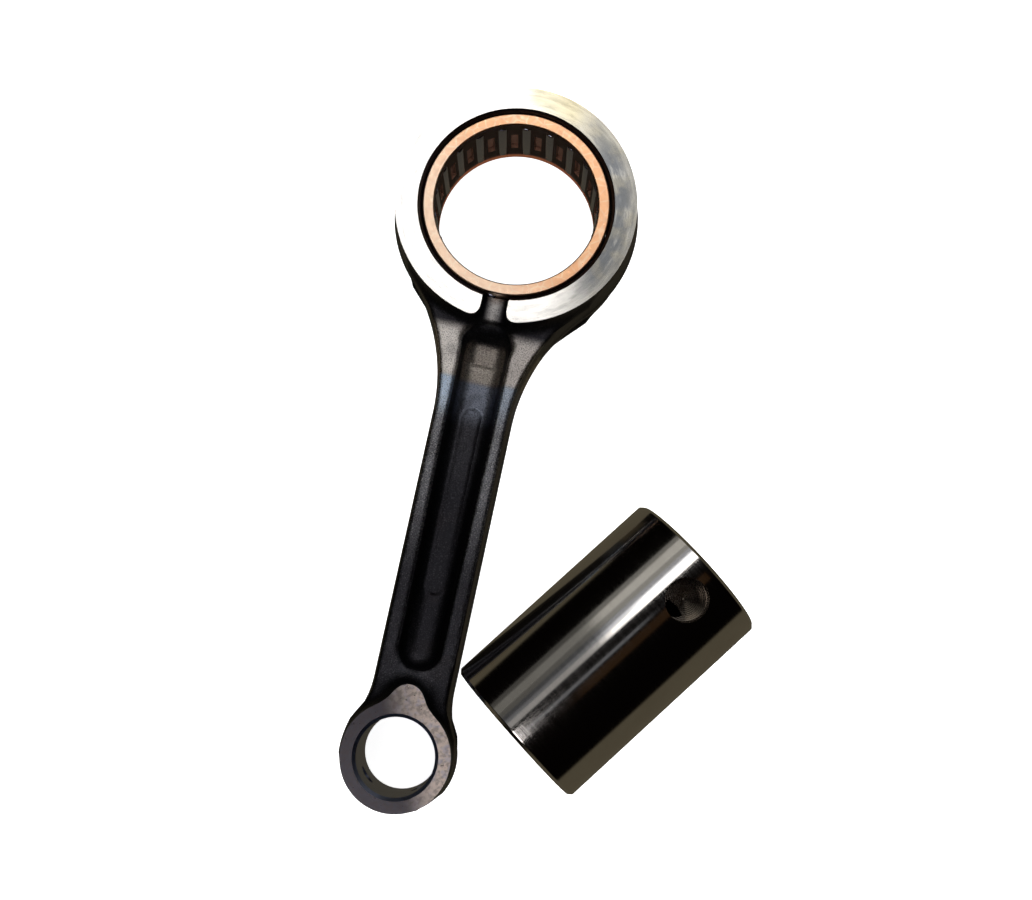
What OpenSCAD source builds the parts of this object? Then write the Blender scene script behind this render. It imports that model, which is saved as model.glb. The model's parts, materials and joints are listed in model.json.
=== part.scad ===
// Single-cylinder engine connecting rod: an I-beam forging with a caged
// needle bearing in its big end, and the crank pin that the bearing runs on.
// The rod lies flat. Origin: centre of the big end. +Z along both bores,
// -Y from the big end towards the small end.

/* [Crank pin] */
// Diameter of the crank pin
pin_d = 34; // [30:0.5:38]
// Length of the crank pin
pin_length = 51; // [46:1:60]
// Chamfer on both ends of the crank pin
pin_chamfer = 0.8; // [0.4:0.1:1.2]
// Diameter of the oil pocket in the pin
pocket_d = 9; // [6:0.5:10]
// Distance from the pocket's centre to the nearer end of the pin
pocket_from_end = 8; // [7:0.5:12]
// Turn of the pocket round the pin, away from straight up
pocket_turn = 10; // [0:1:30]
// Diameter of the oil gallery drilled from the pocket to the outlet
gallery_d = 4.5; // [3:0.5:5]
// Diameter of the oil outlet under the rollers
outlet_d = 3; // [2:0.5:4]
// Distance of the oil outlet from the pin's middle, towards the pocket
outlet_offset = 2.5; // [2.5:0.5:5]
// Where the loose pin lies beside the rod: its middle, along X
pin_x = 37.4; // [37.4:0.1:60]
// Where the loose pin lies beside the rod: its middle, along Y
pin_y = -87; // [-90:0.5:-84]
// Direction of the loose pin's axis, from +X
pin_heading = 54; // [52:0.5:56]

/* [Bearing] */
// Diameter of one needle roller
roller_d = 3; // [2.8:0.1:3.2]
// Length of one needle roller
roller_length = 16.4; // [14:0.2:16.4]
// Number of needle rollers
roller_count = 21; // [19:1:21]
// Direction of the first roller, from +X
roller_phase = 94.6; // [90:0.1:107]
// Outer diameter of the cage
cage_d = 39.4; // [39.2:0.1:39.6]
// Bore of the cage
cage_bore_d = 34.6; // [34.4:0.1:34.8]
// Length of the cage
cage_length = 21.6; // [20:0.2:21.8]
// Depth of the hollow in the inner face of each cage bar
hollow_depth = 0.9; // [0.4:0.1:1.2]
// Length of each hollow
hollow_length = 8.6; // [6:0.2:10]
// Width of each hollow
hollow_width = 1.6; // [1:0.1:1.8]

/* [Big end] */
// Width of the big end across its two machined faces
big_width = 22; // [22:0.5:24]
// Diameter of a machined face
big_face_d = 51; // [50:0.5:53]
// Diameter at the parting line, halfway up the drafted wall
big_part_d = 53; // [51:0.5:55]
// Chamfer at the bearing bore
big_chamfer = 0.8; // [0.4:0.1:1]
// Width of the oil slot across each face
slot_width = 5.6; // [4:0.2:7]
// Height of the oil slot's floor above the mid-plane
slot_floor = 7.4; // [6.5:0.1:9]

/* [Small end] */
// Diameter of the wrist pin bore
wrist_bore_d = 16; // [14:0.5:17]
// Width of the small end across its two faces
small_width = 21; // [18:0.5:22]
// Diameter of a small end face
small_face_d = 22.4; // [21:0.2:24]
// Diameter at the parting line
small_part_d = 24.4; // [23:0.2:26]
// Chamfer at the wrist pin bore
small_chamfer = 0.7; // [0.3:0.1:0.9]
// Diameter of the two oil holes through the small end
oil_hole_d = 4; // [2:0.5:4.5]
// Angle of each oil hole from the rod's centre line
oil_hole_angle = 45; // [30:1:60]
// How far the raised tongue reaches from the bore's centre towards the shank
tongue_reach = 14.8; // [13:0.2:16]
// Width of the tongue
tongue_width = 6.4; // [5:0.2:8]

/* [Shank] */
// Distance between the two bore centres
centre_distance = 117; // [112:1:120]
// Width of the shank
shank_width = 16.5; // [15:0.5:16.5]
// Thickness of the shank over its two flanges
shank_thickness = 14.4; // [12:0.2:16]
// Radius of the flare into the big end
big_flare_r = 40; // [30:1:45]
// Radius of the flare into the small end
small_flare_r = 20; // [15:1:22]
// Width of the web recess
recess_width = 10; // [8:0.2:11]
// Distance from the big end's centre to the near end of the recess
recess_start = 28; // [27:0.5:32]
// Distance from the big end's centre to the far end of the recess
recess_end = 99; // [90:0.5:99]
// Thickness of the web between the two recesses
web_thickness = 5; // [3:0.2:7]
// Length of the plain raised pad on the web
pad_length = 40; // [20:1:46]
// Width of the plain raised pad
pad_width = 4; // [2:0.2:5]
// Height of the plain raised pad
pad_height = 0.4; // [0.2:0.1:0.8]

/* [Hidden] */
$fn = 96;
// Height of the trimmed band along the parting line
parting_band = 1.2;
// Radial running clearance at each rolling contact
run_gap = 0.01;
// Side clearance of a roller in its cage pocket
pocket_gap = 0.05;
// Angle by which each flare stops short of its tangent point
flare_stop = 2;
// How far a cutting shape passes the face it cuts
over = 1;

pitch_r = pin_d / 2 + run_gap + roller_d / 2;
housing_d = 2 * (pitch_r + roller_d / 2 + run_gap);
roller_step = 360 / roller_count;
rest_z = -big_width / 2;
small_y = -centre_distance;
// Fillets between the shank's sides and the two ends, as tangent circles
big_flare_x = shank_width / 2 + big_flare_r;
big_flare_y = -sqrt(pow(big_part_d / 2 + big_flare_r, 2) - pow(big_flare_x, 2));
small_flare_x = shank_width / 2 + small_flare_r;
small_flare_y = small_y + sqrt(pow(small_part_d / 2 + small_flare_r, 2) - pow(small_flare_x, 2));

function two_digits(i) = str(i < 10 ? "0" : "", i);
function roller_name(i) = str("roller_", two_digits(i));

// A round boss with drafted walls, widest at the trimmed band of the parting line.
module drafted_boss(width, face_d, part_d) {
    rotate_extrude()
        polygon([
            [0, -width / 2],
            [face_d / 2, -width / 2],
            [part_d / 2, -parting_band / 2],
            [part_d / 2, parting_band / 2],
            [face_d / 2, width / 2],
            [0, width / 2]
        ]);
}

// A through bore with a 45 degree chamfer at each face.
module chamfered_bore(d, width, chamfer) {
    cylinder(d = d, h = width + 2 * over, center = true);
    for (side = [-1, 1])
        mirror([0, 0, side < 0 ? 1 : 0])
            rotate_extrude()
                polygon([
                    [0, width / 2 - chamfer],
                    [d / 2, width / 2 - chamfer],
                    [d / 2 + chamfer + over, width / 2 + over],
                    [0, width / 2 + over]
                ]);
}

// Points along an arc, from one angle to another.
function arc(x, y, r, from, to, steps = 8) =
    [for (k = [0 : steps]) let (t = from + (to - from) * k / steps) [x + r * cos(t), y + r * sin(t)]];

// The shank's outline, one side from the small end to the big end and then its mirror image.
// It ends inside the two bosses.
module shank_outline() {
    big_turn = atan2(-big_flare_y, -big_flare_x) + flare_stop;
    small_turn = 360 + atan2(small_y - small_flare_y, -small_flare_x) - flare_stop;
    side = concat(
        [[small_part_d / 4, small_y]],
        arc(small_flare_x, small_flare_y, small_flare_r, small_turn, 180),
        arc(big_flare_x, big_flare_y, big_flare_r, 180, big_turn),
        [[big_part_d / 4, 0]]
    );
    last = len(side) - 1;
    polygon(concat(side, [for (k = [last : -1 : 0]) [-side[k][0], side[k][1]]]));
}

module recess_outline() {
    round_r = recess_width / 2;
    translate([-round_r, -recess_end + round_r])
        square([recess_width, recess_end - recess_start - 2 * round_r]);
    for (y = [-recess_start - round_r, -recess_end + round_r])
        translate([0, y])
            circle(r = round_r);
}

// The hollow between the flanges on one side of the web.
module web_recess() {
    depth = (shank_thickness - web_thickness) / 2;
    translate([0, 0, shank_thickness / 2 - depth])
        linear_extrude(depth + over)
            recess_outline();
}

// A plain pad on the web, where such rods carry a forged mark.
module web_pad() {
    middle = (recess_start + recess_end) / 2;
    translate([-pad_width / 2, -middle - pad_length / 2, web_thickness / 2 - over])
        cube([pad_width, pad_length, pad_height + over]);
}

// Oil slot across one big end face, open to the bearing bore.
module oil_slot() {
    length = big_part_d / 2;
    translate([0, 0, slot_floor + slot_width / 2])
        rotate([90, 0, 0])
            cylinder(d = slot_width, h = length);
    translate([-slot_width / 2, -length, slot_floor + slot_width / 2])
        cube([slot_width, length, big_width]);
}

// The raised tongue that runs from the small end's faces towards the shank.
module tongue() {
    tip_y = small_y + tongue_reach - tongue_width / 2;
    linear_extrude(small_width, center = true) {
        translate([0, tip_y])
            circle(d = tongue_width);
        translate([-tongue_width / 2, small_y])
            square([tongue_width, tip_y - small_y]);
    }
}

// The wrist pin bore, and the two oil holes that start inside it.
module small_end_cuts() {
    translate([0, small_y, 0]) {
        chamfered_bore(wrist_bore_d, small_width, small_chamfer);
        for (side = [-1, 1])
            rotate([0, 0, side * oil_hole_angle])
                translate([0, -wrist_bore_d / 4, 0])
                    rotate([90, 0, 0])
                        cylinder(d = oil_hole_d, h = small_part_d / 2);
    }
}

module connecting_rod() {
    color("dimgray")
        difference() {
            union() {
                difference() {
                    linear_extrude(shank_thickness, center = true)
                        shank_outline();
                    for (side = [0, 1])
                        mirror([0, 0, side])
                            web_recess();
                }
                for (side = [0, 1])
                    mirror([0, 0, side])
                        web_pad();
                drafted_boss(big_width, big_face_d, big_part_d);
                translate([0, small_y, 0])
                    drafted_boss(small_width, small_face_d, small_part_d);
                tongue();
            }
            chamfered_bore(housing_d, big_width, big_chamfer);
            for (side = [0, 1])
                mirror([0, 0, side])
                    oil_slot();
            small_end_cuts();
        }
}

module bearing_cage() {
    color("sandybrown")
        difference() {
            cylinder(d = cage_d, h = cage_length, center = true);
            cylinder(d = cage_bore_d, h = cage_length + 2 * over, center = true);
            for (i = [1 : roller_count])
                rotate(roller_phase + (i - 0.5) * roller_step)
                    translate([cage_bore_d / 2 - over, -hollow_width / 2, -hollow_length / 2])
                        cube([hollow_depth + over, hollow_width, hollow_length]);
            for (i = [1 : roller_count])
                at_roller(i)
                    cylinder(
                        d = roller_d + 2 * pocket_gap,
                        h = roller_length + 2 * pocket_gap,
                        center = true
                    );
        }
}

module at_roller(i) {
    rotate(roller_phase + (i - 1) * roller_step)
        translate([pitch_r, 0, 0])
            children();
}

module roller(i) {
    color("silver")
        at_roller(i)
            cylinder(d = roller_d, h = roller_length, center = true);
}

// The plain chamfered pin, along Z.
module pin_body() {
    r = pin_d / 2;
    half = pin_length / 2;
    rotate_extrude()
        polygon([
            [0, -half],
            [r - pin_chamfer, -half],
            [r, -half + pin_chamfer],
            [r, half - pin_chamfer],
            [r - pin_chamfer, half],
            [0, half]
        ]);
}

// A pocket with a cone-shaped floor on the pin's +X side, a gallery that slants from it to the
// pin's axis, and a radial outlet on the -X side.
module oil_way() {
    wall_depth = 2.6;
    cone_depth = 1.4;
    gallery_offset = 2;
    pocket_z = pin_length / 2 - pocket_from_end;
    floor_r = pin_d / 2 - wall_depth;
    mouth_r = pin_d / 2 + over;
    gallery_run = floor_r - cone_depth / 2;
    gallery_rise = pocket_z - gallery_offset - outlet_offset;
    translate([0, 0, pocket_z])
        rotate([0, 90, 0])
            rotate_extrude()
                polygon([
                    [0, floor_r - cone_depth],
                    [pocket_d / 2, floor_r],
                    [pocket_d / 2, mouth_r],
                    [0, mouth_r]
                ]);
    translate([0, 0, outlet_offset]) {
        rotate([0, atan2(gallery_run, gallery_rise), 0])
            cylinder(d = gallery_d, h = norm([gallery_run, gallery_rise]));
        sphere(d = gallery_d);
        rotate([0, -90, 0])
            cylinder(d = outlet_d, h = mouth_r);
    }
}

// The loose pin, lying beside the rod with its pocket turned away from it.
module crank_pin() {
    color("lightsteelblue")
        translate([pin_x, pin_y, rest_z + pin_d / 2])
            rotate([0, 0, pin_heading])
                rotate([90 + pocket_turn, 0, 0])
                    rotate([0, 90, 0])
                        rotate(90)
                            difference() {
                                pin_body();
                                oil_way();
                            }
}

connecting_rod();
bearing_cage();
crank_pin();
for (i = [1 : roller_count])
    roller(i);
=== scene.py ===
import json
import math

import bpy
import numpy as np
from mathutils import Matrix, Vector


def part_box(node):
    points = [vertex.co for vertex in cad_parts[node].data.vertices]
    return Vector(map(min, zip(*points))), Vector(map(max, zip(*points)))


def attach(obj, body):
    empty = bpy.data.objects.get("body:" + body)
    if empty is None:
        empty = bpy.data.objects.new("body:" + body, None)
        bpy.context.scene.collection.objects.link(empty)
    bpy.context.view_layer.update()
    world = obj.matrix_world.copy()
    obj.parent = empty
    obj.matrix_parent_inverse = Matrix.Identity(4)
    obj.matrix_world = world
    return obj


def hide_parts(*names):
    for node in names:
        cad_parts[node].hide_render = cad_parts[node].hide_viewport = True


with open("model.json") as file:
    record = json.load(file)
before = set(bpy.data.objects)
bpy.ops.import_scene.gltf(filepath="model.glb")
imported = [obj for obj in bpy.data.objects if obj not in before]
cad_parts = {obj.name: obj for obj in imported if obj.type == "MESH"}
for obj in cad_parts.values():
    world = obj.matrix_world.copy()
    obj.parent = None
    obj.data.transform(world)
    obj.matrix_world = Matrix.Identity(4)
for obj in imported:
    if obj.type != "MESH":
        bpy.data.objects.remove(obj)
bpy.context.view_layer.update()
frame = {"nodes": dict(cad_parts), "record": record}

# Lengths in this script are millimetres; meshes are scaled to metres when they are made.
MM = 0.001


# ---------------------------------------------------------------- sizes from the frame

def node_box(node):
    """The lowest and highest corner of a CAD node, in millimetres."""
    low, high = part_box(node)
    return np.array(low) / MM, np.array(high) / MM


def mount_point(name):
    """A mount's point, in millimetres."""
    mount = next(m for m in frame["record"]["mounts"] if m["name"] == name)
    return np.array(mount["pos_m"]) / MM


rod_low, rod_high = node_box("connecting_rod")
cage_high = node_box("bearing_cage")[1]
roller_low, roller_high = node_box("roller_01")
pin_low, pin_high = node_box("crank_pin")
roller_nodes = sorted(name for name in frame["nodes"] if name.startswith("roller_"))
small_y = mount_point("wrist_pin_bore")[1]

# Big end and bearing
flash = 0.2                                  # how far the trimmed flash line stands proud
big_part_r = rod_high[0] - flash
big_face_r = 25.5
big_half = rod_high[2]
housing_r = 20.02
big_chamfer = 0.8
cage_r = cage_high[0]
cage_bore_r = 17.3
cage_half = cage_high[2]
roller_r = (roller_high[0] - roller_low[0]) / 2
roller_half = roller_high[2]
hollow_depth = 0.9
hollow_half_width = 0.8
hollow_half_length = 4.3
slot_half = 2.8
slot_floor = 7.4
slot_corner = 1.5
slot_fall = -24.8
slot_end = -33.0
slot_slope = 0.55

# Small end
small_part_r = small_y - rod_low[1] - flash
small_face_r = 11.2
small_half = 10.5
wrist_r = 8.0
small_chamfer = 0.7
oil_hole_r = 2.0
oil_hole_turn = math.radians(45)
oil_hole_start = 4                           # inside the wrist pin bore
oil_hole_end = 16                            # clear of the outer wall
spot_reach = 11.75
spot_r = 4.2
tongue_tip_y = small_y + 14.8
tongue_half = 3.1

# Shank
shank_half = 8.4
shank_draft = 0.085
flange_top = 7.2
web_half = 2.5
big_flare_r = 40.0
small_flare_r = 20.0
recess_start = -27.6
recess_end = -99.3
recess_half_big = 5.1
recess_half_small = 4.4
recess_corner_big = 3.4
recess_corner_growth = 0.9
recess_taper = (35, 97)                      # distances from the big end where the taper runs
pad_half_length = 20.0
pad_half_width = 1.9
pad_height = 0.4
witness_y = -95.0
witness_height = 0.14
witness_spread = 0.5

# Fillets and drafts of the forging
big_fillet = 3.6                             # where the shank's top runs into the big end
small_fillet = 3.4                           # where it runs into the small end
outline_fillet = 0.05                        # below the flanges the outline stays sharp
tongue_fillet = 3.6
tongue_draft = 0.22
flange_round = 0.9
recess_draft = 0.24
recess_floor_fillet = 2.6
recess_rim_round = 0.8
recess_mouth_round = 1.8                     # added where the recess meets the big end
slot_round = 2.6
pad_fillet = 0.4
pad_round = 0.5
flash_spread = 0.55                          # how quickly the flash line dies away in height

# Loose crank pin
pin_centre = (pin_low + pin_high) / 2
pin_r = (pin_high[2] - pin_low[2]) / 2
pin_half = 25.5
pin_heading = math.radians(54)
pin_chamfer = 0.8
pocket_r = 4.5
pocket_along = pin_half - 8.0
pocket_turn = math.radians(10)
pocket_floor = pin_r - 2.6
pocket_cone = 1.4
gallery_r = 2.25
gallery_shift = 2.0
outlet_along = 2.5
outlet_r = 1.5

# Camera: looking down, a little tilted and turned
camera_place = (19.0, -89.5, 317.0)
camera_tilt = math.radians(7.31)
camera_turn = math.radians(12.02)
camera_lens = 52.3


# ---------------------------------------------------------------- mesh helpers

def new_object(name, vertices, faces, material, place=None):
    """A mesh object from millimetre vertices, moved by the 4x4 matrix place."""
    points = np.asarray(vertices, dtype=float)
    if place is not None:
        points = points @ place[:3, :3].T + place[:3, 3]
    mesh = bpy.data.meshes.new(name)
    mesh.from_pydata((points * MM).tolist(), [], [list(map(int, f)) for f in faces])
    mesh.materials.append(material)
    obj = bpy.data.objects.new(name, mesh)
    bpy.context.scene.collection.objects.link(obj)
    return obj


def finish_shading(obj, sharp_angle=30):
    """Smooth shading with hard edges where the surface turns sharply."""
    obj.data.shade_smooth()
    obj.data.set_sharp_from_angle(angle=math.radians(sharp_angle))


def lathe(profile, segments):
    """Vertices and faces of a closed profile of (radius, height) points turned about Z.

    A point on the axis becomes one vertex, so a profile that starts and ends there is a solid."""
    vertices = []
    rings = []
    turns = np.linspace(0, 2 * math.pi, segments, endpoint=False)
    for radius, height in profile:
        if radius == 0:
            rings.append([len(vertices)])
            vertices.append((0, 0, height))
            continue
        rings.append(list(range(len(vertices), len(vertices) + segments)))
        vertices.extend((radius * math.cos(t), radius * math.sin(t), height) for t in turns)
    pairs = list(zip(rings, rings[1:]))
    if len(rings[0]) > 1:
        pairs.append((rings[-1], rings[0]))
    faces = []
    for lower, upper in pairs:
        for k in range(segments):
            after = (k + 1) % segments
            corners = [lower[k % len(lower)], lower[after % len(lower)],
                       upper[after % len(upper)], upper[k % len(upper)]]
            face = list(dict.fromkeys(corners))
            if len(face) > 2:
                faces.append(face)
    return np.array(vertices, dtype=float), faces


def box_mesh(low, high):
    """Vertices and faces of a box."""
    corners = [(x, y, z) for z in (low[2], high[2]) for y in (low[1], high[1]) for x in (low[0], high[0])]
    faces = [(0, 2, 3, 1), (4, 5, 7, 6), (0, 1, 5, 4), (2, 6, 7, 3), (0, 4, 6, 2), (1, 3, 7, 5)]
    return np.array(corners, dtype=float), faces


def join(parts):
    """One vertex array and face list from several."""
    vertices = []
    faces = []
    start = 0
    for points, polygons in parts:
        vertices.append(points)
        faces.extend([[start + v for v in polygon] for polygon in polygons])
        start += len(points)
    return np.vstack(vertices), faces


def moved(part, place):
    """A mesh part moved by a 4x4 matrix."""
    points, faces = part
    return points @ place[:3, :3].T + place[:3, 3], faces


def frame_matrix(origin, z_axis, x_hint=(0, 0, 1)):
    """A 4x4 matrix whose Z runs along z_axis, with X as near x_hint as it can be."""
    z = np.array(z_axis, dtype=float)
    z /= np.linalg.norm(z)
    x = np.array(x_hint, dtype=float)
    x -= (x @ z) * z
    x /= np.linalg.norm(x)
    place = np.eye(4)
    place[:3, 0] = x
    place[:3, 1] = np.cross(z, x)
    place[:3, 2] = z
    place[:3, 3] = origin
    return place


def cut(obj, part, material):
    """Cuts a mesh part away from an object; the new faces take the cutter's material."""
    cutter = new_object("cutter", part[0], part[1], material)
    modifier = obj.modifiers.new("cut", "BOOLEAN")
    modifier.operation = "DIFFERENCE"
    modifier.solver = "MANIFOLD"
    modifier.object = cutter
    if hasattr(modifier, "material_mode"):
        modifier.material_mode = "TRANSFER"
    bpy.context.view_layer.update()
    depsgraph = bpy.context.evaluated_depsgraph_get()
    result = bpy.data.meshes.new_from_object(obj.evaluated_get(depsgraph))
    obj.modifiers.clear()
    obj.data = result
    bpy.data.objects.remove(cutter)


def place_piece(obj, body, slot, *nodes):
    """Hands a finished piece to the frame."""
    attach(obj, body)
    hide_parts(*nodes)


# ---------------------------------------------------------------- smooth solid fields

def smooth_min(a, b, blend):
    """The lower of two fields, with a fillet of about that radius between them."""
    near = np.maximum(blend - np.abs(a - b), 0) / blend
    return np.minimum(a, b) - near * near * blend / 4


def smooth_max(a, b, blend):
    """The higher of two fields, with their edge rounded to about that radius."""
    return -smooth_min(-a, -b, blend)


def ramp(value, start, end):
    """Smooth step from 0 at start to 1 at end."""
    t = np.clip((value - start) / (end - start), 0, 1)
    return t * t * (3 - 2 * t)


def boss_wall(reach, height, part_r, face_r, half):
    """Drafted wall of a round boss, widest at the parting line."""
    slope = (part_r - face_r) / half
    return (reach - part_r + slope * height) / math.hypot(1, slope)


def flare(along, middle, end_r, flare_r):
    """Half-width that the flare adds at a distance along the shank from the boss's centre.

    The flare is an arc that touches the shank's side and the boss."""
    centre_x = middle + flare_r
    centre_y = math.sqrt((end_r + flare_r) ** 2 - centre_x ** 2)
    touch = centre_y * flare_r / (end_r + flare_r)
    rise = np.clip(centre_y - along, 0, touch)
    return flare_r - np.sqrt(flare_r ** 2 - rise ** 2)


def shank_field(x, y, height):
    """The shank as a solid bar with drafted sides and flared ends."""
    half = shank_half + flare(-y, shank_half, big_part_r, big_flare_r)
    half = half + flare(y - small_y, shank_half, small_part_r, small_flare_r)
    side = x - half + shank_draft * height
    top = height - flange_top - witness_mark(y)
    bar = smooth_max(side, top, flange_round)
    return np.maximum(bar, np.maximum(y, small_y - y))


def witness_mark(y):
    """A faint raised line across the flanges, near the small end."""
    return witness_height * np.exp(-((y - witness_y) / witness_spread) ** 2)


def recess_field(x, y, height):
    """The hollow between the flanges, with drafted walls and a rounded floor."""
    toward_small = ramp(-y, *recess_taper)
    half = recess_half_big + (recess_half_small - recess_half_big) * toward_small
    corner = recess_corner_big + recess_corner_growth * toward_small
    middle = (recess_start + recess_end) / 2
    length = (recess_start - recess_end) / 2
    past_x = x - (half - corner)
    past_y = np.abs(y - middle) - (length - corner)
    outside = np.hypot(np.maximum(past_x, 0), np.maximum(past_y, 0))
    plan = outside + np.minimum(np.maximum(past_x, past_y), 0) - corner
    wall = (plan + recess_draft * (flange_top - height)) / math.hypot(1, recess_draft)
    floor = web_half - height
    return smooth_max(wall, floor, recess_floor_fillet)


def slot_field(x, y, height):
    """The oil slot across the big end's face, running down into the recess."""
    floor = slot_floor - slot_slope * np.maximum(slot_fall - y, 0)
    past_x = x - (slot_half - slot_corner)
    past_z = floor + slot_corner - height
    outside = np.hypot(np.maximum(past_x, 0), np.maximum(past_z, 0))
    low = outside + np.minimum(np.maximum(past_x, past_z), 0) - slot_corner
    return np.maximum(low, np.maximum(y, slot_end - y))


def small_boss_field(x, y, height):
    """The small end with the tongue that runs from its face towards the shank."""
    from_small = y - small_y
    ring = boss_wall(np.hypot(x, from_small), height, small_part_r, small_face_r, small_half)
    tip = tongue_tip_y - small_y - tongue_half
    capsule = np.hypot(x, from_small - np.clip(from_small, 0, tip)) - tongue_half
    capsule = (capsule - tongue_draft * (small_half - height)) / math.hypot(1, tongue_draft)
    return smooth_min(ring, capsule, tongue_fillet)


def pad_field(x, y, height):
    """The plain raised pad on the web."""
    middle = (recess_start + recess_end) / 2
    past_y = np.abs(y - middle) - (pad_half_length - pad_half_width)
    plan = np.hypot(x, np.maximum(past_y, 0)) - pad_half_width
    return smooth_max(plan, height - web_half - pad_height, pad_round)


def forging_field(x, y, z):
    """Negative inside the raw forging. It is its own mirror image in X and in Z."""
    x = np.abs(x)
    height = np.abs(z)
    # Above the flanges the fillets are wide; below them the outline stays as drawn.
    above = ramp(height, flange_top - 1.2, flange_top)
    big = boss_wall(np.hypot(x, y), height, big_part_r, big_face_r, big_half)
    body = smooth_min(big, shank_field(x, y, height), outline_fillet + big_fillet * above)
    rim = recess_rim_round + recess_mouth_round * ramp(y, -33, -28)
    body = smooth_max(body, -recess_field(x, y, height), rim)
    small = small_boss_field(x, y, height)
    body = smooth_min(body, small, outline_fillet + small_fillet * above)
    body = smooth_min(body, pad_field(x, y, height), pad_fillet)
    body = smooth_max(body, -slot_field(x, y, height), slot_round)
    return body - flash * np.exp(-(z / flash_spread) ** 2)


def surface_nets(field, low, step):
    """Meshes a sampled field's zero level, with one vertex in each cell that it crosses."""
    shape = np.array(field.shape)
    strides = np.array([shape[1] * shape[2], shape[2], 1])
    inside = field < 0
    hits = np.zeros(field.size)
    sums = np.zeros((3, field.size))
    quads = []
    for axis in range(3):
        near = [slice(None)] * 3
        far = [slice(None)] * 3
        near[axis] = slice(None, -1)
        far[axis] = slice(1, None)
        crossed = np.argwhere(inside[tuple(near)] != inside[tuple(far)])
        start = crossed @ strides
        values = field.reshape(-1)
        first = values[start]
        second = values[start + strides[axis]]
        points = crossed.astype(float)
        points[:, axis] += first / (first - second)
        u = strides[(axis + 1) % 3]
        v = strides[(axis + 2) % 3]
        cells = np.stack([start, start - u, start - u - v, start - v], axis=1)
        for column in cells.T:
            hits += np.bincount(column, minlength=field.size)
            for k in range(3):
                sums[k] += np.bincount(column, weights=points[:, k], minlength=field.size)
        leaving = first < 0
        quads.append(cells[leaving])
        quads.append(cells[~leaving][:, ::-1])
    used = np.flatnonzero(hits)
    number = np.zeros(field.size, dtype=int)
    number[used] = np.arange(len(used))
    vertices = (sums[:, used] / hits[used]).T * step + low
    return vertices, number[np.vstack(quads)]


def settle(points, field, rounds=3, small=0.02):
    """Moves points onto a field's zero level along its slope."""
    for _ in range(rounds):
        value = field(*points.T)
        slope = np.empty_like(points)
        for k in range(3):
            shift = np.zeros(3)
            shift[k] = small
            slope[:, k] = (field(*(points + shift).T) - field(*(points - shift).T)) / (2 * small)
        size = np.maximum((slope ** 2).sum(axis=1), 0.25)
        points = points - np.clip(value / size, -0.3, 0.3)[:, None] * slope
    return points


# ---------------------------------------------------------------- materials

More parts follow.
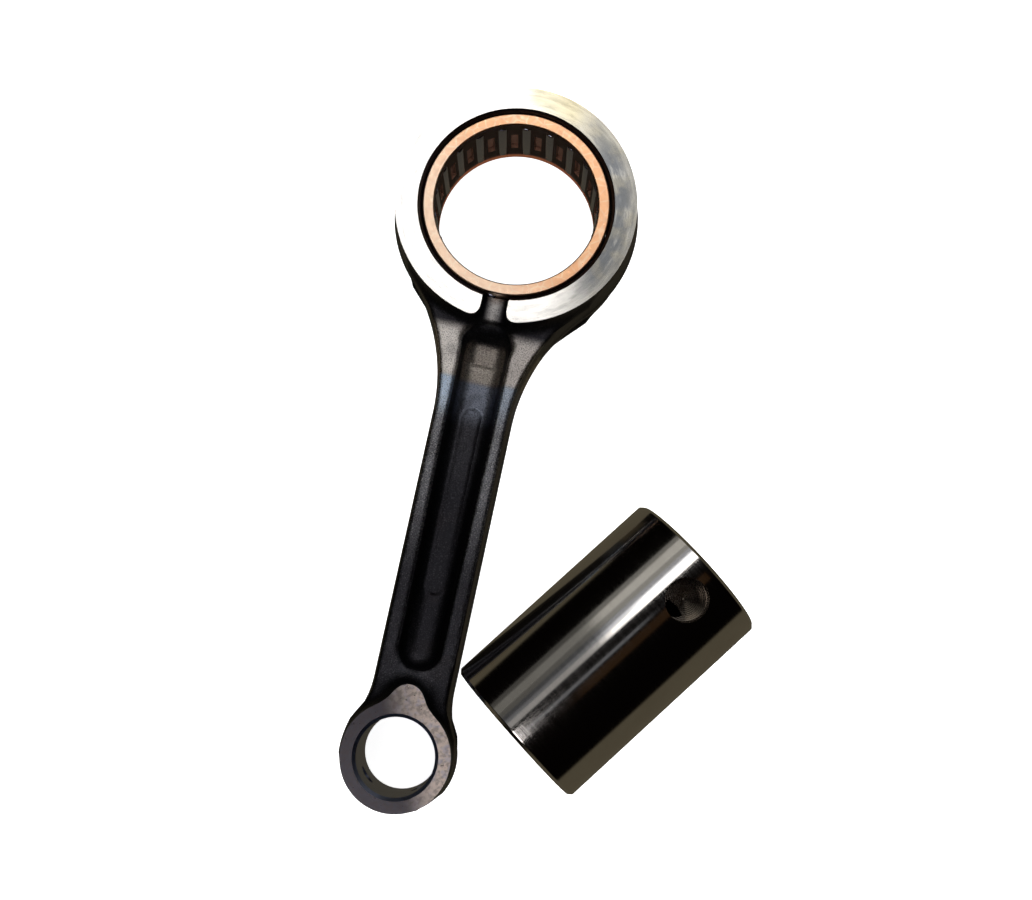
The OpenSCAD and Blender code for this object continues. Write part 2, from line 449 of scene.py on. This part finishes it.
class Shader:
    """A Principled material that is built up node by node, in millimetre object coordinates."""

    def __init__(self, name, colour, metallic, roughness):
        self.material = bpy.data.materials.new(name)
        self.material.use_nodes = True
        self.nodes = self.material.node_tree.nodes
        self.links = self.material.node_tree.links
        self.surface = self.nodes["Principled BSDF"]
        self.surface.inputs["Base Color"].default_value = (*colour, 1)
        self.surface.inputs["Metallic"].default_value = metallic
        self.surface.inputs["Roughness"].default_value = roughness
        place = self.nodes.new("ShaderNodeTexCoord")
        scale = self.nodes.new("ShaderNodeMapping")
        scale.inputs["Scale"].default_value = (1 / MM, 1 / MM, 1 / MM)
        self.links.new(place.outputs["Object"], scale.inputs["Vector"])
        self.place = scale.outputs["Vector"]
        self.height = None

    def stretched(self, origin, turn, scale):
        """Coordinates about a point, turned and scaled."""
        node = self.nodes.new("ShaderNodeMapping")
        node.vector_type = "TEXTURE"
        node.inputs["Location"].default_value = origin
        node.inputs["Rotation"].default_value = turn
        node.inputs["Scale"].default_value = scale
        self.links.new(self.place, node.inputs["Vector"])
        return node.outputs["Vector"]

    def noise(self, scale, detail=3.0, vector=None):
        """Smooth noise from 0 to 1, with that many features per millimetre."""
        node = self.nodes.new("ShaderNodeTexNoise")
        node.inputs["Scale"].default_value = scale
        node.inputs["Detail"].default_value = detail
        self.links.new(vector or self.place, node.inputs["Vector"])
        return node.outputs["Fac"]

    def polar(self, per_turn, per_radius, per_height):
        """Coordinates that run round the Z axis, outward and up, for marks left by turning."""
        angle = self.nodes.new("ShaderNodeMath")
        angle.operation = "ARCTAN2"
        self.links.new(self.along("Y"), angle.inputs[0])
        self.links.new(self.along("X"), angle.inputs[1])
        packed = self.nodes.new("ShaderNodeCombineXYZ")
        self.links.new(self.times(angle.outputs[0], per_turn), packed.inputs["X"])
        self.links.new(self.times(self.reach(), per_radius), packed.inputs["Y"])
        self.links.new(self.times(self.along("Z"), per_height), packed.inputs["Z"])
        return packed.outputs["Vector"]

    def reach(self):
        """Distance from the Z axis, in millimetres."""
        node = self.nodes.new("ShaderNodeVectorMath")
        node.operation = "MULTIPLY"
        node.inputs[1].default_value = (1, 1, 0)
        self.links.new(self.place, node.inputs[0])
        length = self.nodes.new("ShaderNodeVectorMath")
        length.operation = "LENGTH"
        self.links.new(node.outputs["Vector"], length.inputs[0])
        return length.outputs["Value"]

    def slant(self, x_share, y_share):
        """A coordinate that runs across X and Y, in millimetres."""
        node = self.nodes.new("ShaderNodeVectorMath")
        node.operation = "DOT_PRODUCT"
        node.inputs[1].default_value = (x_share, y_share, 0)
        self.links.new(self.place, node.inputs[0])
        return node.outputs["Value"]

    def along(self, axis):
        """One coordinate, in millimetres."""
        node = self.nodes.new("ShaderNodeSeparateXYZ")
        self.links.new(self.place, node.inputs["Vector"])
        return node.outputs[axis]

    def spread(self, value, low, high, to_low=0.0, to_high=1.0):
        """Maps a range of one value onto another, smoothly."""
        node = self.nodes.new("ShaderNodeMapRange")
        node.interpolation_type = "SMOOTHSTEP"
        node.inputs["From Min"].default_value = low
        node.inputs["From Max"].default_value = high
        node.inputs["To Min"].default_value = to_low
        node.inputs["To Max"].default_value = to_high
        self.links.new(value, node.inputs["Value"])
        return node.outputs["Result"]

    def times(self, a, b):
        """The product of two values."""
        node = self.nodes.new("ShaderNodeMath")
        node.operation = "MULTIPLY"
        for socket, value in zip(node.inputs, (a, b)):
            if isinstance(value, float):
                socket.default_value = value
            else:
                self.links.new(value, socket)
        return node.outputs[0]

    def tint(self, amount, colour):
        """Mixes a colour over the base colour by an amount from 0 to 1."""
        node = self.nodes.new("ShaderNodeMix")
        node.data_type = "RGBA"
        base = self.surface.inputs["Base Color"]
        if base.is_linked:
            self.links.new(base.links[0].from_socket, node.inputs["A"])
        else:
            node.inputs["A"].default_value = base.default_value
        node.inputs["B"].default_value = (*colour, 1)
        self.links.new(amount, node.inputs["Factor"])
        self.links.new(node.outputs["Result"], base)

    def rough(self, amount, low, high):
        """Roughness from low to high as amount goes from 0 to 1."""
        self.links.new(self.spread(amount, 0.0, 1.0, low, high), self.surface.inputs["Roughness"])

    def bump(self, value, depth):
        """Adds relief of that depth, in millimetres."""
        node = self.nodes.new("ShaderNodeBump")
        node.inputs["Strength"].default_value = 1.0
        node.inputs["Distance"].default_value = depth * MM
        self.links.new(value, node.inputs["Height"])
        if self.height:
            self.links.new(self.height, node.inputs["Normal"])
        self.height = node.outputs["Normal"]
        self.links.new(self.height, self.surface.inputs["Normal"])


def forged_steel():
    """Black forging scale, bare grey on the flange tops, with heat tint near the big end; the lightening of
    the flanges and web towards the big end and on the left is partly wear and partly a painted highlight, and
    the darkening towards the small end is painted shade.
    """
    shader = Shader("forged_steel", (0.055, 0.055, 0.065), 1.0, 0.38)
    along = shader.along("Y")
    height = shader.along("Z")
    grain = shader.noise(3.6, 3.0)
    patches = shader.noise(0.16, 3.0)
    # Painted shade: the base colour darkens towards the small end, away from the lit area by the big end.
    shader.tint(shader.spread(along, -52.0, -66.0, 0.0, 0.6), (0.02, 0.02, 0.026))
    # Web: bare and straw-coloured by the big end, then a bluish band; both are lightened there as a painted
    # highlight
    warm = shader.spread(along, -38.6, -37.0)
    blue = shader.times(shader.spread(along, -48.0, -41.0), shader.spread(along, -37.0, -38.6))
    web = shader.times(shader.spread(height, 4.6, 3.4), shader.spread(along, -28.6, -30.6))
    shader.tint(blue, (0.12, 0.13, 0.165))
    shader.tint(shader.times(web, blue), (0.27, 0.3, 0.38))
    shader.tint(shader.times(web, warm), (0.45, 0.405, 0.365))
    # Flanges: partly rubbed bare, and brightened as a painted highlight over the same bands, most of all on
    # the left
    top = shader.times(shader.spread(height, 6.5, 6.9), shader.spread(along, -26.3, -29.3))
    top = shader.times(top, shader.spread(along, -106.0, -98.0))
    left = shader.spread(shader.along("X"), 2.0, -2.0)
    # Wear and painted highlight: the flange tops grow brighter towards the big end.
    wear_and_highlight = shader.spread(along, -82.0, -52.0, 0.05, 1.0)
    shader.tint(shader.times(top, wear_and_highlight), (0.25, 0.255, 0.28))
    shader.tint(shader.times(top, blue), (0.42, 0.49, 0.6))
    shader.tint(shader.times(top, warm), (0.68, 0.63, 0.6))
    shader.tint(shader.times(shader.times(top, left), blue), (0.62, 0.76, 0.95))
    shader.tint(shader.times(shader.times(top, left), warm), (0.97, 0.92, 0.88))
    # Painted highlight: the floor of the oil slot is coloured near white.
    sideways = shader.along("X")
    slot = shader.times(shader.spread(sideways, -2.2, 0.5), shader.spread(sideways, 2.2, -0.5))
    slot = shader.times(slot, shader.spread(along, -26.2, -24.0))
    shader.tint(shader.times(slot, shader.spread(height, 8.6, 8.0)), (0.84, 0.82, 0.81))
    shader.tint(shader.spread(patches, 0.5, 0.7, 0.0, 0.45), (0.05, 0.045, 0.05))
    shader.tint(shader.spread(grain, 0.52, 0.36, 0.0, 0.5), (0.03, 0.03, 0.036))
    speckle = shader.spread(grain, 0.54, 0.68, 0.0, 0.45)
    # Grain of the scale, picked out near white within the painted highlight on the flanges and web.
    shader.tint(shader.times(speckle, shader.times(top, wear_and_highlight)), (0.95, 0.94, 0.93))
    shader.tint(shader.times(speckle, shader.times(web, warm)), (0.8, 0.76, 0.7))
    shader.tint(shader.times(speckle, 0.25), (0.3, 0.3, 0.32))
    shader.rough(top, 0.4, 0.3)
    shader.bump(grain, 0.09)
    shader.bump(shader.noise(0.45, 2.0), 0.1)
    return shader.material


def machined_face():
    """Bright turned face of the big end, stained yellow, with painted shade and mottled patches that make one
    side grey.
    """
    shader = Shader("machined_face", (0.93, 0.92, 0.9), 1.0, 0.22)
    side = shader.spread(shader.slant(1.0, 0.25), 3.0, 20.0)
    streaks = shader.noise(1.0, 4.0, shader.polar(5.0, 1.1, 1.0))
    clouds = shader.noise(0.28, 4.0)
    # Painted shade: the right side of the face is darkened, and its inner part more so.
    shader.tint(shader.times(side, 0.94), (0.22, 0.216, 0.2))
    outline = shader.spread(shader.reach(), 25.2, 22.6)
    inner = shader.times(outline, shader.spread(shader.slant(1.0, 0.1), 12.0, 19.0))
    shader.tint(shader.times(inner, 0.85), (0.11, 0.12, 0.135))
    # Mottled patches and turning streaks over the shaded side, partly a real stain and partly painted shade.
    shader.tint(shader.times(side, shader.spread(clouds, 0.46, 0.66, 0.0, 0.35)), (0.36, 0.33, 0.25))
    shader.tint(shader.times(side, shader.spread(streaks, 0.48, 0.7, 0.0, 0.45)), (0.16, 0.165, 0.17))
    shader.tint(shader.times(side, shader.spread(streaks, 0.46, 0.28, 0.0, 0.35)), (0.4, 0.39, 0.36))
    yellow = shader.spread(shader.slant(0.25, 0.97), 17.0, 23.0, 0.0, 0.7)
    yellow = shader.times(yellow, shader.spread(shader.along("X"), -5.0, 0.0))
    yellow = shader.times(yellow, shader.spread(shader.along("X"), 13.0, 7.0, 0.15, 1.0))
    shader.tint(yellow, (0.52, 0.46, 0.27))
    shader.rough(streaks, 0.16, 0.3)
    shader.bump(shader.noise(1.0, 3.0, shader.polar(2.0, 6.0, 1.0)), 0.002)
    shader.bump(clouds, 0.01)
    return shader.material


def small_face():
    """Ground face of the small end: dark and violet, with a painted highlight that makes it brighter and
    warmer towards one side.
    """
    shader = Shader("small_face", (0.115, 0.11, 0.13), 1.0, 0.3)
    # Painted highlight: one side of the face is lightened and warmed.
    bright = shader.spread(shader.slant(0.9, 0.42), -50.0, -40.5)
    shader.tint(bright, (0.98, 0.85, 0.78))
    mottle = shader.noise(1.3, 4.0)
    shader.tint(shader.spread(mottle, 0.4, 0.66, 0.0, 0.42), (0.12, 0.1, 0.1))
    # Violet patches, kept within the painted highlight.
    violet = shader.times(bright, shader.spread(shader.noise(0.7, 4.0), 0.5, 0.64, 0.0, 0.4))
    shader.tint(violet, (0.6, 0.6, 0.78))
    shader.rough(shader.noise(0.8), 0.24, 0.4)
    shader.bump(mottle, 0.012)
    return shader.material


def ground_bore(name, colour, roughness):
    """A ground bore with fine marks round it."""
    shader = Shader(name, colour, 1.0, roughness)
    marks = shader.noise(1.0, 3.0, shader.stretched((0, 0, 0), (0, 0, 0), (6, 6, 0.12)))
    shader.rough(marks, roughness - 0.06, roughness + 0.12)
    shader.bump(marks, 0.004)
    return shader.material


def copper_rim():
    """Copper-plated rim of the cage, with criss-cross rubbing marks."""
    shader = Shader("copper_rim", (0.97, 0.56, 0.32), 1.0, 0.3)
    cells = shader.nodes.new("ShaderNodeTexVoronoi")
    cells.feature = "DISTANCE_TO_EDGE"
    cells.inputs["Scale"].default_value = 0.42
    shader.links.new(shader.place, cells.inputs["Vector"])
    lines = shader.spread(cells.outputs["Distance"], 0.02, 0.09, 1.0, 0.0)
    shader.tint(shader.times(lines, 0.55), (1.0, 0.82, 0.62))
    shader.tint(shader.spread(shader.noise(0.5, 3.0), 0.4, 0.62, 0.0, 0.5), (0.85, 0.44, 0.25))
    # Painted shade and highlight: deeper orange on one side of the rim, paler on the other.
    shader.tint(shader.spread(shader.slant(1.0, 0.25), 2.0, 16.0, 0.0, 0.35), (0.72, 0.4, 0.22))
    shader.tint(shader.spread(shader.slant(0.75, 0.66), 2.0, -15.0, 0.0, 0.6), (1.0, 0.84, 0.68))
    shader.rough(shader.noise(1.2), 0.24, 0.38)
    shader.bump(shader.noise(2.5, 3.0), 0.006)
    return shader.material


def copper_inside():
    """The copper inside the cage, painted nearly black as shade, with a painted orange glint on the lower
    lip.
    """
    shader = Shader("copper_inside", (0.012, 0.004, 0.002), 0.2, 0.65)
    shader.tint(shader.spread(shader.noise(0.9, 3.0), 0.4, 0.65, 0.0, 0.6), (0.006, 0.002, 0.001))
    # Painted highlight: an orange glint along the lower lip.
    shader.tint(shader.spread(shader.along("Z"), -8.0, -9.2), (0.3, 0.075, 0.012))
    shader.bump(shader.noise(2.5, 3.0), 0.008)
    return shader.material


def copper_hollow():
    """The brown copper in the hollows of the bars, lighter than the copper around it: a lit copy of the same
    copper, standing in for the light the hollows catch.
    """
    shader = Shader("copper_hollow", (0.135, 0.062, 0.037), 0.3, 0.6)
    shader.tint(shader.spread(shader.noise(2.0, 3.0), 0.4, 0.65, 0.0, 0.5), (0.09, 0.038, 0.02))
    shader.rough(shader.noise(2.0), 0.5, 0.65)
    shader.bump(shader.noise(3.0, 3.0), 0.01)
    return shader.material


def roller_steel():
    """Satin ground steel of the needle rollers."""
    shader = Shader("roller_steel", (0.47, 0.49, 0.62), 1.0, 0.24)
    marks = shader.noise(1.0, 3.0, shader.stretched((0, 0, 0), (0, 0, 0), (2, 2, 0.15)))
    shader.tint(shader.spread(marks, 0.4, 0.7, 0.0, 0.4), (0.34, 0.35, 0.44))
    shader.rough(marks, 0.16, 0.28)
    shader.bump(marks, 0.004)
    return shader.material


def pin_steel():
    """Polished hardened steel with fine marks round it and faint darker patches."""
    shader = Shader("pin_steel", (0.72, 0.7, 0.68), 1.0, 0.1)
    turn = (0, math.pi / 2, pin_heading)
    origin = tuple(pin_centre)
    marks = shader.noise(1.0, 4.0, shader.stretched(origin, turn, (5, 5, 0.22)))
    shader.rough(marks, 0.06, 0.16)
    shader.bump(marks, 0.003)
    haze = shader.noise(0.12, 3.0)
    shader.tint(shader.spread(haze, 0.45, 0.7, 0.0, 0.35), (0.6, 0.57, 0.54))
    return shader.material


def pin_pocket():
    """Turned steel inside the pin's pocket and holes."""
    shader = Shader("pin_pocket", (0.24, 0.21, 0.18), 1.0, 0.26)
    shader.rough(shader.noise(1.5), 0.2, 0.32)
    shader.bump(shader.noise(3.0, 3.0), 0.008)
    return shader.material


# ---------------------------------------------------------------- pieces

def spool(radius, half, chamfer, over=2.0):
    """A cutter for a through bore with a chamfer at both faces."""
    reach = radius + chamfer
    return lathe([(0, -half - over), (reach + over, -half - over), (radius, -half + chamfer),
                  (radius, half - chamfer), (reach + over, half + over), (0, half + over)], 256)


def facing_slabs():
    """Boxes that face off both ends to their machined widths."""
    clear = 3.0
    parts = []
    for side in (-1, 1):
        for half, start, end in ((big_half, small_y / 2, big_part_r + clear),
                                 (small_half, rod_low[1] - clear, small_y / 2)):
            near, far = sorted((side * half, side * (big_half + clear)))
            parts.append(box_mesh((-big_part_r - clear, start, near), (big_part_r + clear, end, far)))
    return parts


def build_rod(forged, bright, dull, bore, wall):
    """The forging, then its machined faces, bores and oil holes."""
    step = 0.45
    margin = 1.5
    low = rod_low - margin
    counts = np.ceil((rod_high - rod_low + 2 * margin) / step).astype(int)
    axes = [low[k] + step * (np.arange(counts[k]) + 0.37) for k in range(3)]
    grid = np.meshgrid(*axes, indexing="ij", sparse=True)
    raw_half = big_half + 0.8

    def field(x, y, z):
        return np.maximum(forging_field(x, y, z), np.abs(z) - raw_half)

    vertices, faces = surface_nets(field(*grid), np.array([a[0] for a in axes]), step)
    vertices = settle(vertices, field)
    rod = new_object("forged_rod", vertices, faces, forged)
    slabs = facing_slabs()
    big_slabs = join([slabs[0], slabs[2]])
    small_slabs = join([slabs[1], slabs[3]])
    cut(rod, big_slabs, bright)
    cut(rod, small_slabs, dull)
    cut(rod, spool(housing_r, big_half, big_chamfer), wall)
    to_small = frame_matrix((0, small_y, 0), (0, 0, 1), (1, 0, 0))
    for side in (-1, 1):
        way = (side * math.sin(oil_hole_turn), -math.cos(oil_hole_turn), 0)
        start = np.array((0, small_y, 0))
        hole = lathe([(0, oil_hole_start), (oil_hole_r, oil_hole_start),
                      (oil_hole_r, oil_hole_end), (0, oil_hole_end)], 64)
        spot = lathe([(0, spot_reach), (spot_r, spot_reach), (spot_r, oil_hole_end),
                      (0, oil_hole_end)], 64)
        cut(rod, moved(spot, frame_matrix(start, way)), wall)
        cut(rod, moved(hole, frame_matrix(start, way)), bore)
    cut(rod, moved(spool(wrist_r, small_half, small_chamfer), to_small), bore)
    finish_shading(rod, 28)
    place_piece(rod, "rod", "forged_steel", "connecting_rod")


def at_roller(node):
    """The centre of a roller's node, in millimetres."""
    low, high = node_box(node)
    return (low + high) / 2


def build_cage(rim, inside, hollow):
    """The copper-plated cage: two rims joined by bars, each bar hollowed in the middle."""
    edge = 0.25
    ring = lathe([(cage_bore_r + edge, -cage_half), (cage_r - edge, -cage_half),
                  (cage_r, -cage_half + edge), (cage_r, cage_half - edge),
                  (cage_r - edge, cage_half), (cage_bore_r + edge, cage_half),
                  (cage_bore_r, cage_half - edge), (cage_bore_r, -cage_half + edge)], 336)
    cage = new_object("needle_cage", *ring, rim)
    gap = 0.05
    half_step = math.pi / len(roller_nodes)
    pockets = []
    hollows = []
    for node in roller_nodes:
        centre = at_roller(node)
        pocket = lathe([(0, -roller_half - gap), (roller_r + gap, -roller_half - gap),
                        (roller_r + gap, roller_half + gap), (0, roller_half + gap)], 48)
        pockets.append(moved(pocket, frame_matrix(centre, (0, 0, 1), (centre[0], centre[1], 0))))
        turn = math.atan2(centre[1], centre[0]) + half_step
        outward = np.array((math.cos(turn), math.sin(turn), 0))
        box = box_mesh((-1, -hollow_half_width, -hollow_half_length),
                       (hollow_depth, hollow_half_width, hollow_half_length))
        hollows.append(moved(box, frame_matrix(cage_bore_r * outward, (0, 0, 1), outward)))
    cut(cage, join(pockets), inside)
    cut(cage, join(hollows), hollow)
    rim_slot = cage.data.materials.find(rim.name)
    inside_slot = cage.data.materials.find(inside.name)
    for polygon in cage.data.polygons:
        x, y, z = np.array(polygon.center) / MM
        on_rim = abs(z) > cage_half - 0.9 * edge or math.hypot(x, y) > cage_r - 0.3
        if polygon.material_index == rim_slot and not on_rim:
            polygon.material_index = inside_slot
    finish_shading(cage, 28)
    place_piece(cage, "cage", "copper_plate", "bearing_cage")


def build_rollers(steel):
    """Needle rollers with rounded ends, each on its own body."""
    edge = 0.35
    profile = [(0, -roller_half), (roller_r - edge, -roller_half)]
    arc = [math.radians(a) for a in (30, 60, 90)]
    profile += [(roller_r - edge + edge * math.sin(a), -roller_half + edge - edge * math.cos(a)) for a in arc]
    profile += [(radius, -height) for radius, height in reversed(profile)]
    shape, faces = lathe(profile, 48)
    for node in roller_nodes:
        place = np.eye(4)
        place[:3, 3] = at_roller(node)
        needle = new_object(node.replace("roller", "needle"), shape, faces, steel, place)
        finish_shading(needle, 40)
        place_piece(needle, node, "roller_steel", node)


def pocket_cutter():
    """The pin's pocket: a shallow turned cone with fine tool rings."""
    rings = 26
    profile = [(0, -pocket_cone)]
    for k in range(1, rings):
        radius = pocket_r * k / rings
        ridge = 0.035 if k % 2 else -0.035
        profile.append((radius, -pocket_cone * (1 - k / rings) ** 1.2 + ridge))
    profile += [(pocket_r, 0), (pocket_r, 6), (0, 6)]
    return lathe(profile, 96)


def build_pin(polished, turned):
    """The crank pin, lying beside the rod, with its oil pocket and holes."""
    edge = 0.15
    body_r = pin_r - pin_chamfer
    profile = [(0, -pin_half), (body_r - edge, -pin_half), (body_r + 0.7 * edge, -pin_half + 0.3 * edge),
               (pin_r - 0.3 * edge, -pin_half + pin_chamfer - 0.7 * edge),
               (pin_r, -pin_half + pin_chamfer + edge)]
    profile += [(radius, -height) for radius, height in reversed(profile)]
    axis = np.array((math.cos(pin_heading), math.sin(pin_heading), 0))
    away = np.array((axis[1], -axis[0], 0))
    up = math.cos(pocket_turn) * np.array((0, 0, 1)) + math.sin(pocket_turn) * away
    shape, faces = lathe(profile, 256)
    pin = new_object("turned_crank_pin", shape, faces, polished, frame_matrix(pin_centre, axis, up))
    pocket_at = pin_centre + pocket_along * axis + pocket_floor * up
    cut(pin, moved(pocket_cutter(), frame_matrix(pocket_at, up, axis)), turned)
    outlet_at = pin_centre + outlet_along * axis
    mouth = pin_centre + (pocket_along - gallery_shift) * axis + (pocket_floor - pocket_cone / 2) * up
    length = float(np.linalg.norm(mouth - outlet_at))
    gallery = lathe([(0, 0), (gallery_r, 0), (gallery_r, length), (0, length)], 64)
    cut(pin, moved(gallery, frame_matrix(outlet_at, mouth - outlet_at)), turned)
    outlet = lathe([(0, 0), (outlet_r, 0), (outlet_r, pin_r + 2), (0, pin_r + 2)], 64)
    cut(pin, moved(outlet, frame_matrix(outlet_at, -up, axis)), turned)
    finish_shading(pin, 20)
    place_piece(pin, "pin", "pin_steel", "crank_pin")


# ---------------------------------------------------------------- studio

def build_floor():
    """A plain pale floor that curves up into a backdrop far behind the object."""
    floor_z = rod_low[2]
    segments = 96
    flat = 2200.0
    bend = 900.0
    profile = [(0.0, 0.0), (flat, 0.0)]
    profile += [(flat + bend * math.sin(a), bend - bend * math.cos(a))
                for a in np.radians([15, 30, 45, 60, 75, 90])]
    profile.append((flat + bend, 4500.0))
    turns = np.linspace(0, 2 * math.pi, segments, endpoint=False)
    vertices = [(0, 0, floor_z)]
    for radius, height in profile[1:]:
        vertices.extend((radius * math.cos(t), radius * math.sin(t), floor_z + height) for t in turns)
    faces = [(0, 1 + k, 1 + (k + 1) % segments) for k in range(segments)]
    for ring in range(len(profile) - 2):
        start = 1 + segments * ring
        above = start + segments
        for k in range(segments):
            after = (k + 1) % segments
            faces.append((start + k, above + k, above + after, start + after))
    shader = Shader("pale_floor", (0.86, 0.86, 0.86), 0.0, 0.9)
    shader.surface.inputs["Specular IOR Level"].default_value = 0.0
    shader.surface.inputs["Emission Color"].default_value = (1, 1, 1, 1)
    shader.surface.inputs["Emission Strength"].default_value = 0.8
    floor = new_object("floor", vertices, faces, shader.material)
    floor.data.shade_smooth()
    floor.visible_glossy = False


def softbox(name, across, along, width, length, radiance, colour=(1, 1, 1), distance=2.0):
    """A rectangular light above the object, aimed by two angles from straight up.

    across leans away from the rod, square to the crank pin; along leans the way the pin points.
    width and length are the angles that it fills, in degrees."""
    lean = np.array((math.sin(pin_heading), -math.cos(pin_heading), 0))
    point = np.array((math.cos(pin_heading), math.sin(pin_heading), 0))
    a = math.radians(across)
    b = math.radians(along)
    way = math.cos(b) * (math.sin(a) * lean + math.cos(a) * np.array((0, 0, 1))) + math.sin(b) * point
    data = bpy.data.lights.new(name, "AREA")
    data.shape = "RECTANGLE"
    data.size = 2 * distance * math.tan(math.radians(width / 2))
    data.size_y = 2 * distance * math.tan(math.radians(length / 2))
    data.energy = 4 * data.size * data.size_y * radiance
    data.color = colour
    light = bpy.data.objects.new(name, data)
    aim = np.array(((rod_low + rod_high) / 2)) * MM
    place = frame_matrix(aim + distance * way, way, np.cross(point, way))
    light.matrix_world = Matrix(place.tolist())
    light.visible_camera = False
    bpy.context.scene.collection.objects.link(light)
    return light


def build_lights():
    """Soft boxes and strips, and an overhead light for the floor that metal doesn't mirror."""
    warm = (1.0, 0.97, 0.88)
    cool = (0.93, 0.95, 1.0)
    # Across, width and radiance of each strip; all of them are dimmer on the low side
    strips = (("far_edge", -49, 7, 0.14, warm), ("far", -40, 11, 0.38, warm),
              ("far_inner", -31, 8, 0.22, warm),
              ("near_outer", -24, 6, 0.28, cool), ("near", -18.5, 5, 0.7, cool),
              ("bright", -12.3, 7.5, 1.5, (1.0, 0.97, 0.93)))
    for name, across, width, radiance, colour in strips:
        softbox(name, across, 22.5, width, 39, radiance, colour)
        dimmer = 0.36 if across < -30 else 0.17
        softbox(name + "_dim", across, -6.5, width, 19, dimmer * radiance, colour)
    softbox("bright_high", -14.5, 26, 12, 36, 0.75, (1.0, 0.98, 0.95))
    softbox("glimmer", 7, -6, 4, 18, 0.12, cool)
    softbox("ember", 18, 4, 12, 20, 0.018, (1.0, 0.5, 0.2))
    softbox("low_panel", 6, -21, 18, 14, 2.6, (1.0, 0.95, 0.93))
    softbox("fill_high", 0, 66, 60, 22, 0.25)
    overhead = softbox("overhead", 0, 0, 60, 60, 1.3)
    overhead.visible_glossy = False


def build_world():
    """A dark studio above the horizon and a dim beige table below it."""
    world = bpy.data.worlds.new("studio")
    bpy.context.scene.world = world
    world.use_nodes = True
    nodes = world.node_tree.nodes
    links = world.node_tree.links
    place = nodes.new("ShaderNodeTexCoord")
    split = nodes.new("ShaderNodeSeparateXYZ")
    links.new(place.outputs["Generated"], split.inputs["Vector"])
    shade = nodes.new("ShaderNodeMapRange")
    shade.inputs["From Min"].default_value = -0.14
    shade.inputs["From Max"].default_value = -0.06
    links.new(split.outputs["Z"], shade.inputs["Value"])
    mix = nodes.new("ShaderNodeMix")
    mix.data_type = "RGBA"
    mix.inputs["A"].default_value = (0.088, 0.075, 0.05, 1)
    mix.inputs["B"].default_value = (0.001, 0.0006, 0.0005, 1)
    links.new(shade.outputs["Result"], mix.inputs["Factor"])
    links.new(mix.outputs["Result"], nodes["Background"].inputs["Color"])


def build_camera():
    """A camera above the object, at the viewing angle of the reference."""
    data = bpy.data.cameras.new("camera")
    data.lens = camera_lens
    data.sensor_width = 36
    data.clip_start = 0.01
    data.clip_end = 50
    camera = bpy.data.objects.new("camera", data)
    camera.location = Vector(camera_place) * MM
    camera.rotation_euler = (camera_tilt, 0, camera_turn)
    bpy.context.scene.collection.objects.link(camera)
    bpy.context.scene.camera = camera


bpy.context.scene.view_settings.view_transform = "Standard"
build_camera()
build_world()
build_lights()
build_floor()
build_rod(forged_steel(), machined_face(), small_face(),
          ground_bore("wrist_bore", (0.36, 0.4, 0.52), 0.3),
          ground_bore("housing_wall", (0.06, 0.05, 0.05), 0.4))
build_cage(copper_rim(), copper_inside(), copper_hollow())
build_rollers(roller_steel())
build_pin(pin_steel(), pin_pocket())
